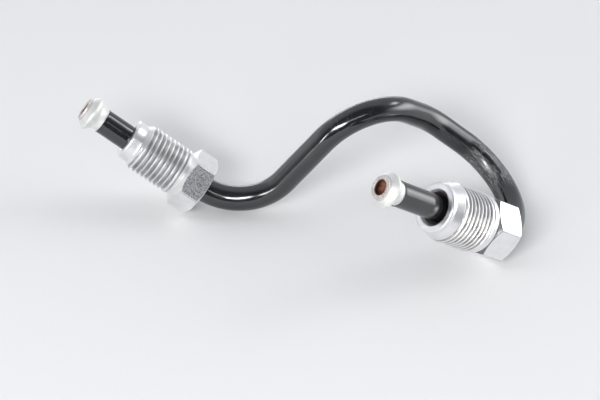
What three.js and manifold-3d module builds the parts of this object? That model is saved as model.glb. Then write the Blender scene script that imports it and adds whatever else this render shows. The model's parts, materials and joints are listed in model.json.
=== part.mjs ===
// A formed brake pipe for a car: a double-walled steel tube with a plastic coating, bent four times,
// flared at both ends, with a captive union nut on each end. Millimetres, +Z up. The pipe lies on the
// floor on the hexagons of its two nuts and on its widest bend, with its origin under its middle.

import * as THREE from 'three';
import { mergeVertices } from 'three/addons/utils/BufferGeometryUtils.js';
import Module from 'manifold-3d';

const wasm = await Module();
wasm.setup();

// The tube
const TUBE_OD = 4.75;
const TUBE_WALL = 0.7;
const COATING_OD = 5.05;
const COATING_PLAY = 0.03;
const COATING_SETBACK = 4.4;

// The bends, in order from the M10 end, with the straights before, between and after them
const BEND_RADIUS = 12.5;
const M10_STRAIGHT = 27.65;
const FIRST_BEND = 86.9;
const CLIMB_STRAIGHT = 12.15;
const SECOND_BEND = 93.2;
const SECOND_TWIST = 218.4;
const CREST_STRAIGHT = 4.2;
const THIRD_BEND = 30.7;
const THIRD_TWIST = -94;
const DROP_STRAIGHT = 5.4;
const RETURN_BEND = 158;
const RETURN_TWIST = 6.7;
const M12_STRAIGHT = 29.7;

// The flares: a bulb behind a flat rim, with a sloping back that the nut pulls on. The crest and the
// length are distances from the tip.
const FLARE_OD = 7.1;
const FLARE_RIM_OD = 4.5;
const FLARE_CREST = 1.75;
const FLARE_LENGTH = 3.6;
const FLARE_NECK_LIP = 0.04;
const MOUTH_CHAMFER = 0.2;

// How far past a surface a cutting solid reaches
const OVERCUT = 1;

// The union nuts. Distances along a nut start at its nose.
const THREAD_PITCH = 1;
const HEX_FLATS = 11;
const M10_NUT = {
  threadOD: 9.9,
  noseOD: 8.35,
  noseLength: 2.2,
  threadStart: 3.3,
  threadEnd: 12,
  collarEnd: 12.3,
  neckOD: 9.2,
  hexStart: 12.65,
  hexFrontOD: 9.3,
  length: 17.9,
  borePlay: 0.11,
  boreChamfer: 0.3,
  flatTurn: 9,
};
const M12_NUT = {
  threadOD: 11.86,
  noseOD: 10,
  noseLength: 1,
  threadStart: 3.4,
  threadEnd: 11.2,
  collarEnd: 12.4,
  neckOD: 10.5,
  hexStart: 12.65,
  hexFrontOD: 10.7,
  length: 19,
  borePlay: 0.7,
  boreChamfer: 0.6,
  flatTurn: 22.5,
};
const NOSE_EDGE = 0.4;
const THREAD_RUN_OUT_TURNS = 1;
const HEX_CHAMFER_ANGLE = 30;
const HEX_BACK_OD = 11;
const SEAT_GAP = 0.1;

// How the finished pipe lies: the side that faces up, seen from the M10 end, and that end's heading
const UPPER_SIDE = new THREE.Vector3(-0.56, 0.82, 0.08);
const HEADING = -7.85;

// Facets
const TUBE_SIDES = 20;
const BORE_SIDES = 12;
const NUT_SIDES = 24;
const HOLLOW_SIDES = 16;
const BEND_STEP = 14;

const radians = THREE.MathUtils.degToRad;
const coatingRadius = COATING_OD / 2;
const tubeRadius = TUBE_OD / 2;
const boreRadius = tubeRadius - TUBE_WALL;

const steel = new THREE.MeshStandardMaterial({ color: 0xd9dadb, roughness: 0.35, metalness: 0.9 });
const coating = new THREE.MeshStandardMaterial({ color: 0x202226, roughness: 0.3, metalness: 0 });
const zinc = new THREE.MeshStandardMaterial({ color: 0xcfd1d4, roughness: 0.3, metalness: 0.9 });

// Solids

function solidOf(geometry) {
  const bare = geometry.clone();
  bare.deleteAttribute('normal');
  bare.deleteAttribute('uv');
  const welded = mergeVertices(bare, 1e-5);
  const corners = welded.index.array;
  const kept = [];
  for (let i = 0; i < corners.length; i += 3) {
    const [a, b, c] = [corners[i], corners[i + 1], corners[i + 2]];
    if (a !== b && b !== c && c !== a) kept.push(a, b, c);
  }
  return new wasm.Manifold(new wasm.Mesh({
    numProp: 3,
    vertProperties: new Float32Array(welded.attributes.position.array),
    triVerts: new Uint32Array(kept),
  }));
}

function geometryOf(solid) {
  const mesh = solid.getMesh();
  const geometry = new THREE.BufferGeometry();
  geometry.setAttribute('position', new THREE.BufferAttribute(mesh.vertProperties, 3));
  geometry.setIndex(new THREE.BufferAttribute(mesh.triVerts, 1));
  geometry.computeVertexNormals();
  return geometry;
}

// A turned solid about +Y. The profile lists [radius, distance along the axis], from the front to the back.
function turned(profile, sides) {
  const points = profile.map(([radius, along]) => new THREE.Vector2(radius, along));
  return solidOf(new THREE.LatheGeometry(points, sides));
}

// The pipe's centreline

const bendSteps = [
  { length: M10_STRAIGHT },
  { bend: FIRST_BEND, twist: 0 },
  { length: CLIMB_STRAIGHT },
  { bend: SECOND_BEND, twist: SECOND_TWIST },
  { length: CREST_STRAIGHT },
  { bend: THIRD_BEND, twist: THIRD_TWIST },
  { length: DROP_STRAIGHT },
  { bend: RETURN_BEND, twist: RETURN_TWIST },
  { length: M12_STRAIGHT },
];

// Each leg starts at a station, the distance from the M10 tip. A bend turns towards `inward`, which is
// twisted about the pipe from where the last bend left it.
function layOutLegs() {
  const legs = [];
  let station = 0;
  let point = new THREE.Vector3();
  let along = new THREE.Vector3(1, 0, 0);
  let inward = new THREE.Vector3(0, 1, 0);
  for (const step of bendSteps) {
    const leg = { station, point: point.clone(), along: along.clone() };
    if (step.bend) {
      inward = inward.clone().applyAxisAngle(along, radians(step.twist));
      leg.length = radians(step.bend) * BEND_RADIUS;
      leg.centre = point.clone().addScaledVector(inward, BEND_RADIUS);
      leg.axis = along.clone().cross(inward);
    } else {
      leg.length = step.length;
    }
    legs.push(leg);
    station += leg.length;
    const end = poseOnLeg(leg, leg.length);
    if (step.bend) inward = inward.clone().applyAxisAngle(leg.axis, radians(step.bend));
    point = end.point;
    along = end.along;
  }
  return legs;
}

function poseOnLeg(leg, distance) {
  if (!leg.centre) return { point: leg.point.clone().addScaledVector(leg.along, distance), along: leg.along.clone() };
  const angle = distance / BEND_RADIUS;
  const spoke = leg.point.clone().sub(leg.centre).applyAxisAngle(leg.axis, angle);
  return { point: leg.centre.clone().add(spoke), along: leg.along.clone().applyAxisAngle(leg.axis, angle) };
}

const legs = layOutLegs();
const pipeLength = legs.at(-1).station + legs.at(-1).length;

function poseAt(station) {
  const leg = legs.findLast((candidate) => candidate.station <= station) ?? legs[0];
  return poseOnLeg(leg, station - leg.station);
}

// The centreline between two stations, with one step along a straight and a step every few degrees of a bend
class Centreline extends THREE.Curve {
  constructor(from, to) {
    super();
    this.stations = [from];
    for (const leg of legs) {
      const start = Math.max(leg.station, from);
      const end = Math.min(leg.station + leg.length, to);
      if (end <= start) continue;
      const count = leg.centre ? Math.ceil((end - start) / (radians(BEND_STEP) * BEND_RADIUS)) : 1;
      for (let i = 1; i <= count; i++) this.stations.push(start + ((end - start) * i) / count);
    }
    this.steps = this.stations.length - 1;
  }

  stationAt(t) {
    const place = t * this.steps;
    const before = Math.min(Math.floor(place + 1e-9), this.steps - 1);
    return THREE.MathUtils.lerp(this.stations[before], this.stations[before + 1], place - before);
  }

  getPoint(t) {
    return poseAt(this.stationAt(t)).point;
  }

  getTangent(t) {
    return poseAt(this.stationAt(t)).along;
  }

  getUtoTmapping(u) {
    return u;
  }
}

function polygon(radius, sides) {
  const points = [];
  for (let i = 0; i < sides; i++) {
    const angle = (2 * Math.PI * i) / sides;
    points.push(new THREE.Vector2(radius * Math.cos(angle), radius * Math.sin(angle)));
  }
  return points;
}

function tube(outerRadius, innerRadius, sides, from, to) {
  const section = new THREE.Shape(polygon(outerRadius, sides));
  if (innerRadius > 0) section.holes.push(new THREE.Path(polygon(innerRadius, sides)));
  const path = new Centreline(from, to);
  return solidOf(new THREE.ExtrudeGeometry(section, { steps: path.steps, extrudePath: path }));
}

// The matrix that puts a turned solid on an end: its +Y runs from the tip along the straight, and its +X
// points down as far as it can.
const ends = {
  m10: { tip: poseAt(0).point, inward: poseAt(0).along },
  m12: { tip: poseAt(pipeLength).point, inward: poseAt(pipeLength).along.negate() },
};

function endFrame(end, distance, up) {
  const down = up.clone().negate().projectOnPlane(end.inward).normalize();
  const frame = new THREE.Matrix4().makeBasis(down, end.inward, down.clone().cross(end.inward));
  return frame.setPosition(end.tip.clone().addScaledVector(end.inward, distance));
}

// Steel pipe with its two flares

const flareRadius = FLARE_OD / 2;
const rimRadius = FLARE_RIM_OD / 2;
const neckRadius = tubeRadius + FLARE_NECK_LIP;

// A point of the bulb's front, or of its back, by its share of the way out from the rim, or in from the
// crest, and its share of the way along
const frontPoint = (out, along) => [rimRadius + (flareRadius - rimRadius) * out, FLARE_CREST * along];
const backPoint = (inwards, along) => [
  flareRadius - (flareRadius - neckRadius) * inwards,
  FLARE_CREST + (FLARE_LENGTH - FLARE_CREST) * along,
];

// The bulb, rounded over its crest and hollow at its foot
function makeBulb() {
  return turned([
    [0, 0],
    frontPoint(0, 0),
    frontPoint(0.36, 0.4),
    frontPoint(0.77, 0.78),
    frontPoint(1, 1),
    backPoint(0.1, 0.2),
    backPoint(0.62, 0.55),
    backPoint(0.92, 0.8),
    backPoint(1, 1),
    [0, FLARE_LENGTH],
  ], NUT_SIDES);
}

// The hollow inside the bulb, about one wall in from its outside
function makeBulbHollow() {
  const widest = flareRadius - TUBE_WALL * 1.3;
  const shoulder = widest - TUBE_WALL * 0.3;
  return turned([
    [0, TUBE_WALL],
    [boreRadius, TUBE_WALL],
    [widest, FLARE_CREST],
    [shoulder, FLARE_CREST + TUBE_WALL * 0.65],
    [boreRadius, FLARE_LENGTH - TUBE_WALL * 0.4],
    [0, FLARE_LENGTH - TUBE_WALL * 0.4],
  ], HOLLOW_SIDES);
}

function makeMouthChamfer() {
  return turned([
    [0, -OVERCUT],
    [boreRadius + MOUTH_CHAMFER + OVERCUT, -OVERCUT],
    [0, boreRadius + MOUTH_CHAMFER],
  ], HOLLOW_SIDES);
}

function makeSteelPipe(up) {
  const places = Object.values(ends).map((end) => endFrame(end, 0, up).toArray());
  let pipe = tube(tubeRadius, 0, TUBE_SIDES, FLARE_CREST, pipeLength - FLARE_CREST);
  for (const place of places) pipe = pipe.add(makeBulb().transform(place));
  pipe = pipe.subtract(tube(boreRadius, 0, BORE_SIDES, -OVERCUT, pipeLength + OVERCUT));
  for (const place of places) {
    pipe = pipe.subtract(makeBulbHollow().transform(place)).subtract(makeMouthChamfer().transform(place));
  }
  return pipe;
}

// Union nuts

// The bend's inner wall stops the nut: how far the nut's back runs past the start of the bend
function biteOnBend(nut) {
  const innerWall = BEND_RADIUS - coatingRadius;
  const nearestWall = BEND_RADIUS - boreOf(nut) + SEAT_GAP;
  return Math.sqrt(Math.max(innerWall ** 2 - nearestWall ** 2, 0)) + nut.boreChamfer;
}

function boreOf(nut) {
  return coatingRadius + nut.borePlay;
}

function nutStation(nut, straight) {
  return straight + biteOnBend(nut) - nut.length;
}

// The centreline of the thread's groove, from before the thread's start to its run-out
class GrooveHelix extends THREE.Curve {
  constructor(rootRadius, from, to, depth) {
    super();
    Object.assign(this, { rootRadius, from, to, depth });
    this.turns = (to - from) / THREAD_PITCH;
    this.steps = Math.round(this.turns * NUT_SIDES);
  }

  angleAt(t) {
    return (2 * Math.PI * this.steps * t) / NUT_SIDES;
  }

  getPoint(t) {
    const stepsLeft = (1 - t) * this.steps;
    const runOut = Math.max(1 - stepsLeft / (NUT_SIDES * THREAD_RUN_OUT_TURNS), 0);
    const radius = this.rootRadius + runOut * this.depth * 1.3;
    const angle = this.angleAt(t);
    const along = this.from + (THREAD_PITCH * angle) / (2 * Math.PI);
    return new THREE.Vector3(radius * Math.sin(angle), along, radius * Math.cos(angle));
  }

  getUtoTmapping(u) {
    return u;
  }

  // The section stands square to the axis all the way round, and doesn't roll as a free frame would
  computeFrenetFrames(steps) {
    const frames = { tangents: [], normals: [], binormals: [] };
    for (let i = 0; i <= steps; i++) {
      const angle = this.angleAt(i / steps);
      frames.tangents.push(new THREE.Vector3(Math.cos(angle), 0, -Math.sin(angle)));
      frames.normals.push(new THREE.Vector3(Math.sin(angle), 0, Math.cos(angle)));
      frames.binormals.push(new THREE.Vector3(0, -1, 0));
    }
    return frames;
  }
}

function threadGroove(nut) {
  const depth = 0.6134 * THREAD_PITCH;
  const top = depth * 1.08;
  const topHalf = THREAD_PITCH * 0.47;
  const section = new THREE.Shape([
    new THREE.Vector2(0, 0),
    new THREE.Vector2(top, -topHalf),
    new THREE.Vector2(top, topHalf),
  ]);
  const helix = new GrooveHelix(nut.threadOD / 2 - depth, nut.threadStart - THREAD_PITCH / 2, nut.threadEnd, depth);
  return solidOf(new THREE.ExtrudeGeometry(section, { steps: helix.steps, extrudePath: helix }));
}

// The turned shank, with its nose, threaded barrel and the neck that joins it to the hexagon
function makeShank(nut) {
  const thread = nut.threadOD / 2;
  const nose = nut.noseOD / 2;
  const neck = nut.neckOD / 2;
  const fall = (thread - neck) * Math.tan(radians(HEX_CHAMFER_ANGLE));
  return turned([
    [0, 0],
    [nose - NOSE_EDGE, 0],
    [nose, NOSE_EDGE],
    [nose, nut.noseLength],
    [thread, nut.threadStart],
    [thread, nut.collarEnd - fall],
    [neck, nut.collarEnd],
    [neck, nut.hexStart + OVERCUT],
    [0, nut.hexStart + OVERCUT],
  ], NUT_SIDES);
}

// The hexagon, its corners cut back to a cone at both ends
function makeHexagon(nut) {
  const corner = HEX_FLATS / Math.sqrt(3);
  const beyond = corner * 1.02;
  const front = nut.hexFrontOD / 2;
  const back = HEX_BACK_OD / 2;
  const slope = Math.tan(radians(HEX_CHAMFER_ANGLE));
  const chamfers = turned([
    [0, nut.hexStart],
    [front, nut.hexStart],
    [beyond, nut.hexStart + (beyond - front) * slope],
    [beyond, nut.length - (beyond - back) * slope],
    [back, nut.length],
    [0, nut.length],
  ], NUT_SIDES * 2);
  const bar = new THREE.CylinderGeometry(corner, corner, nut.length, 6);
  bar.translate(0, nut.length / 2, 0);
  return solidOf(bar).intersect(chamfers);
}

function makeNutBore(nut) {
  const bore = boreOf(nut);
  const mouth = bore + nut.boreChamfer + OVERCUT;
  return turned([
    [0, -OVERCUT],
    [mouth, -OVERCUT],
    [bore, nut.boreChamfer],
    [bore, nut.length - nut.boreChamfer],
    [mouth, nut.length + OVERCUT],
    [0, nut.length + OVERCUT],
  ], NUT_SIDES);
}

function makeNut(nut) {
  return makeShank(nut).subtract(threadGroove(nut)).add(makeHexagon(nut)).subtract(makeNutBore(nut));
}

// A nut's hexagon turns about the pipe: its flat faces down, or `flatTurn` degrees off that
function nutMatrix(nut, end, straight, up) {
  const turn = new THREE.Matrix4().makeRotationY(radians(-nut.flatTurn));
  return endFrame(end, nutStation(nut, straight), up).multiply(turn);
}

// Rest

function lowestPoint(geometry, matrix, up) {
  const position = geometry.attributes.position;
  const point = new THREE.Vector3();
  const lowest = new THREE.Vector3();
  let height = Infinity;
  for (let i = 0; i < position.count; i++) {
    point.fromBufferAttribute(position, i).applyMatrix4(matrix);
    if (point.dot(up) < height) {
      height = point.dot(up);
      lowest.copy(point);
    }
  }
  return lowest;
}

// The direction that is up when the two nuts and the pipe's lowest bend all touch the floor
function restingUp(supports) {
  const up = UPPER_SIDE.clone().normalize();
  for (let pass = 0; pass < 20; pass++) {
    const [a, b, c] = supports.map(({ geometry, matrixFor }) => lowestPoint(geometry, matrixFor(up), up));
    const normal = b.sub(a).cross(c.sub(a)).normalize();
    if (normal.dot(up) < 0) normal.negate();
    up.copy(normal);
  }
  return up;
}

function named(name, geometry, material) {
  const mesh = new THREE.Mesh(geometry, material);
  mesh.name = name;
  return mesh;
}

const sleeve = geometryOf(
  tube(coatingRadius, tubeRadius + COATING_PLAY, TUBE_SIDES, COATING_SETBACK, pipeLength - COATING_SETBACK),
);
const m10Geometry = geometryOf(makeNut(M10_NUT));
const m12Geometry = geometryOf(makeNut(M12_NUT));

const unturned = new THREE.Matrix4();
const up = restingUp([
  { geometry: m10Geometry, matrixFor: (side) => nutMatrix(M10_NUT, ends.m10, M10_STRAIGHT, side) },
  { geometry: m12Geometry, matrixFor: (side) => nutMatrix(M12_NUT, ends.m12, M12_STRAIGHT, side) },
  { geometry: sleeve, matrixFor: () => unturned },
]);

const laid = new THREE.Group();
laid.add(named('steel_pipe', geometryOf(makeSteelPipe(up)), steel));
laid.add(named('polyamide_coating', sleeve, coating));
const m10Nut = named('union_nut_m10', m10Geometry, zinc);
m10Nut.applyMatrix4(nutMatrix(M10_NUT, ends.m10, M10_STRAIGHT, up));
laid.add(m10Nut);
const m12Nut = named('union_nut_m12', m12Geometry, zinc);
m12Nut.applyMatrix4(nutMatrix(M12_NUT, ends.m12, M12_STRAIGHT, up));
laid.add(m12Nut);

// Up becomes +Z, and the M10 end points along +X turned by its heading
const ahead = ends.m10.inward.clone().projectOnPlane(up).normalize();
const bench = new THREE.Matrix4().makeBasis(ahead, up.clone().cross(ahead), up).transpose();
laid.applyMatrix4(bench.premultiply(new THREE.Matrix4().makeRotationZ(radians(HEADING))));

const box = new THREE.Box3().setFromObject(laid, true);
const middle = box.getCenter(new THREE.Vector3());
laid.position.sub(new THREE.Vector3(middle.x, middle.y, box.min.z));

const brakePipe = new THREE.Group();
brakePipe.add(laid);

export default brakePipe;
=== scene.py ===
"""A formed brake pipe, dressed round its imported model.

The pipe is a 4.75 mm steel tube with a black plastic coat, a pressed flare on each tip and a loose union
nut behind each flare. Sizes are in millimetres until a mesh is made, which is in metres.
"""

from __future__ import annotations

import json
import logging
import math
from dataclasses import dataclass, field
from enum import Enum
from typing import ClassVar

import bpy
import numpy as np
from mathutils import Matrix, Vector

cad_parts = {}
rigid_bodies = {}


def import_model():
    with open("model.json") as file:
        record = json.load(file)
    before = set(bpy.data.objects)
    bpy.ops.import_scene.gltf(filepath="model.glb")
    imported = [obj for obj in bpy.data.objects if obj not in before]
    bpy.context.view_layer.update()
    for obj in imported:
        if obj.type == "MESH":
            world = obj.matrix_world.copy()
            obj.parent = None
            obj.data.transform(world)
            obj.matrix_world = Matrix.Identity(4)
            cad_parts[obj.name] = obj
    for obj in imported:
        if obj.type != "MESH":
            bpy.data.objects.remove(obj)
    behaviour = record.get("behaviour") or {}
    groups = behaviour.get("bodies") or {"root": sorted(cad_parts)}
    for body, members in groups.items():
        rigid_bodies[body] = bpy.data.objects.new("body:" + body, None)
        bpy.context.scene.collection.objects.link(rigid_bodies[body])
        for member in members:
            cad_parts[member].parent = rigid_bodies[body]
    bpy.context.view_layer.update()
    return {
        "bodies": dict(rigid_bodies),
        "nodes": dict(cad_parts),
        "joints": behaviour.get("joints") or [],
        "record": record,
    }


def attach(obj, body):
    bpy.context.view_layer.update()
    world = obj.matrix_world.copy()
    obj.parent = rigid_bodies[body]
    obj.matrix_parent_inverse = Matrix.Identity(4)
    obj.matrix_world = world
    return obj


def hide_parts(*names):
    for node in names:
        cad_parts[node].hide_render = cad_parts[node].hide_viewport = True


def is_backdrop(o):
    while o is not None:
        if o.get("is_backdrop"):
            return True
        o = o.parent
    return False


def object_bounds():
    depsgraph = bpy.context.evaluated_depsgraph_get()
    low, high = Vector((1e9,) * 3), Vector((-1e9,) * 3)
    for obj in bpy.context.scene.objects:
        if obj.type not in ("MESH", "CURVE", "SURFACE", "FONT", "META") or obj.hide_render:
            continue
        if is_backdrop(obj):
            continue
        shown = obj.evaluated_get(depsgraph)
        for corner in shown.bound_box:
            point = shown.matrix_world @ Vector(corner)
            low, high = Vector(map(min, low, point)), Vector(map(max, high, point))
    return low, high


MM = 0.001
Colour = tuple[float, float, float, float]
log = logging.getLogger("brake_pipe")


class Slot(Enum):
    """The record's material slots."""

    STEEL = "bare_steel"
    COATING = "black_coating"
    ZINC = "zinc_plate"


def unit(vector: np.ndarray) -> np.ndarray:
    """Returns the vector at length 1."""
    return vector / np.linalg.norm(vector)


def add_to_scene(name: str, data: bpy.types.ID) -> bpy.types.Object:
    """Makes an object of a mesh, a light or a camera, and links it to the scene."""
    made = bpy.data.objects.new(name, data)
    bpy.context.scene.collection.objects.link(made)
    return made


def ring_angles(columns: int) -> np.ndarray:
    """The angles of a ring's points."""
    return np.linspace(0, 2 * math.pi, columns, endpoint=False)


def make_traits(depth: np.ndarray, radius: np.ndarray, angle: np.ndarray, mark: np.ndarray) -> np.ndarray:
    """Gathers the values that a finish reads at each point of a grid.

    Args:
        depth: The points' distances along the piece.
        radius: Their radii.
        angle: Their angles round the piece.
        mark: What the surface is there.

    Returns:
        The depth, the radius times the angle's cosine and its sine, and the mark, (rows, columns, 4).
    """
    values = (depth, radius * np.cos(angle), radius * np.sin(angle), mark)
    return np.stack(np.broadcast_arrays(*values), axis=-1)


def smooth_min(a: np.ndarray, b: np.ndarray, width: float) -> np.ndarray:
    """The lesser of two heights, with the corner between them rounded over a width.

    The formula is the lesser value less a parabola of the closeness of the two, which is zero where they
    are further apart than the width.

    Args:
        a: One height at each point.
        b: The other height there.
        width: The difference at which the rounding starts.

    Returns:
        The rounded lesser height.
    """
    closeness = np.clip(1 - np.abs(a - b) / width, 0, 1)
    return np.minimum(a, b) - width * closeness**2 / 4


def round_over(distance: np.ndarray, radius: float) -> np.ndarray:
    """How far a rounded edge lies below its face, at distances from the edge."""
    return radius * (1 - np.sqrt(1 - np.clip(1 - distance / radius, 0, 1) ** 2))


def ripple(stations: np.ndarray, waves: tuple[tuple[float, float, float], ...]) -> np.ndarray:
    """A sum of sines along a line.

    Args:
        stations: Distances along the line.
        waves: The length, height and shift of each wave.

    Returns:
        The sum of height times the sine of the shifted station over the length, at each station.
    """
    return sum(height * np.sin(2 * math.pi * (stations + shift) / length) for length, height, shift in waves)


def smooth_line(knots: np.ndarray, steps: int) -> tuple[np.ndarray, np.ndarray]:
    """Draws a smooth line through knots.

    Between two knots it is the cubic whose slopes there are half the way between the neighbours of each
    knot, and whose ends keep their own direction.

    Args:
        knots: The points, (count, 2).
        steps: Points drawn from one knot to the next.

    Returns:
        The two coordinates of the line's points.
    """
    before, after = np.vstack([knots[:1], knots[:-1]]), np.vstack([knots[1:], knots[-1:]])
    length = np.linalg.norm(np.diff(knots, axis=0), axis=1)
    slope = (after - before) / np.maximum(np.linalg.norm(after - before, axis=1), 1e-9)[:, None]
    share = (np.arange(steps) / steps)[None, :, None]
    first, second = knots[:-1, None], knots[1:, None]
    leave, arrive = ((end * length[:, None])[:, None] for end in (slope[:-1], slope[1:]))
    line = (
        first * (2 * share**3 - 3 * share**2 + 1) + leave * (share**3 - 2 * share**2 + share)
        + second * (3 * share**2 - 2 * share**3) + arrive * (share**3 - share**2)
    )
    line = np.vstack([line.reshape(-1, 2), knots[-1:]])
    return line[:, 0], line[:, 1]


@dataclass
class Skin:
    """A surface that is gathered as grids of points and then made one mesh.

    Attributes:
        name: The object's name.
        points: Blocks of points in millimetres, each (count, 3).
        traits: Blocks of values for each point, each (count, 4): three of its place and one mark.
        quads: Blocks of four point numbers, each (count, 4).
    """

    name: str
    points: list[np.ndarray] = field(default_factory=list)
    traits: list[np.ndarray] = field(default_factory=list)
    quads: list[np.ndarray] = field(default_factory=list)

    def add_grid(
        self, points: np.ndarray, traits: np.ndarray, shift: int = 0, close_rows: bool = False
    ) -> None:
        """Adds a grid whose columns go once round the axis.

        Args:
            points: The grid's points, (rows, columns, 3).
            traits: Their values, (rows, columns, 4).
            shift: How many rows further on a row comes back after one turn, as a screw's rows do.
            close_rows: Whether the last row joins the first.
        """
        rows, columns = points.shape[:2]
        start = sum(len(block) for block in self.points)
        numbers = start + np.arange(rows * columns).reshape(rows, columns)
        right = np.empty_like(numbers)
        right[:, :-1] = numbers[:, 1:]
        right[:, -1] = numbers[np.minimum(np.arange(rows) + shift, rows - 1), 0]
        if close_rows:
            numbers = np.vstack([numbers, numbers[:1]])
            right = np.vstack([right, right[:1]])
        quads = np.stack([numbers[:-1], right[:-1], right[1:], numbers[1:]], axis=-1)
        self.points.append(points.reshape(-1, 3))
        self.traits.append(traits.reshape(-1, 4))
        self.quads.append(quads.reshape(-1, 4))

    def build(self) -> bpy.types.Object:
        """Welds the grids, turns the faces outwards and makes the object.

        Returns:
            The object, at the origin, linked to the scene.
        """
        points = np.vstack(self.points)
        traits = np.vstack(self.traits)
        quads = np.vstack(self.quads)
        _, first, numbers = np.unique(np.round(points, 5), axis=0, return_index=True, return_inverse=True)
        numbers = numbers.reshape(-1)
        points, traits = points[first], traits[first]
        triangles = numbers[np.vstack([quads[:, [0, 1, 2]], quads[:, [0, 2, 3]]])]
        a, b, c = triangles.T
        triangles = triangles[(a != b) & (b != c) & (c != a)]
        corners = points[triangles]
        volume = np.einsum("ij,ij->i", corners[:, 0], np.cross(corners[:, 1], corners[:, 2])).sum()
        if volume < 0:
            triangles = triangles[:, ::-1]
        mesh = bpy.data.meshes.new(self.name)
        mesh.vertices.add(len(points))
        mesh.vertices.foreach_set("co", (points * MM).astype(np.float32).ravel())
        mesh.loops.add(triangles.size)
        mesh.loops.foreach_set("vertex_index", triangles.astype(np.int32).ravel())
        mesh.polygons.add(len(triangles))
        mesh.polygons.foreach_set("loop_start", np.arange(0, triangles.size, 3, dtype=np.int32))
        mesh.update(calc_edges=True)
        mesh.validate()
        mesh.shade_smooth()
        place, mark = ("place", "FLOAT_VECTOR", "vector"), ("mark", "FLOAT", "value")
        for (name, kind, label), values in ((place, traits[:, :3]), (mark, traits[:, 3])):
            layer = mesh.attributes.new(name, kind, "POINT")
            layer.data.foreach_set(label, values.astype(np.float32).ravel())
        log.info("%s: %d triangles", self.name, len(triangles))
        return add_to_scene(self.name, mesh)


@dataclass(frozen=True)
class Bend:
    """A straight and the bend after it.

    Attributes:
        straight: The straight's length before the bend.
        angle: How far the pipe turns, in degrees.
        twist: How far the bend's plane is turned about the pipe from the last bend's, in degrees.
    """

    straight: float
    angle: float
    twist: float


@dataclass
class Rings:
    """Rings of points round a line, ready to take a radius.

    Attributes:
        centres: The line's points, (count, 3).
        along: Its directions, (count, 3).
        side: A direction square to the line that doesn't roll, (count, 3).
        inward: Towards the middle of the bend. Its length is 0 on a straight and at a bend's ends, and 1
            between them, (count, 3).
    """

    centres: np.ndarray
    along: np.ndarray
    side: np.ndarray
    inward: np.ndarray

    def spokes(self, columns: int) -> np.ndarray:
        """Directions round each ring.

        Args:
            columns: How many directions a ring has.

        Returns:
            The cosine of the angle times the side, plus its sine times the direction square to both,
            (count, columns, 3).
        """
        angle = ring_angles(columns)[None, :, None]
        other = np.cross(self.along, self.side)
        return np.cos(angle) * self.side[:, None] + np.sin(angle) * other[:, None]


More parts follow.
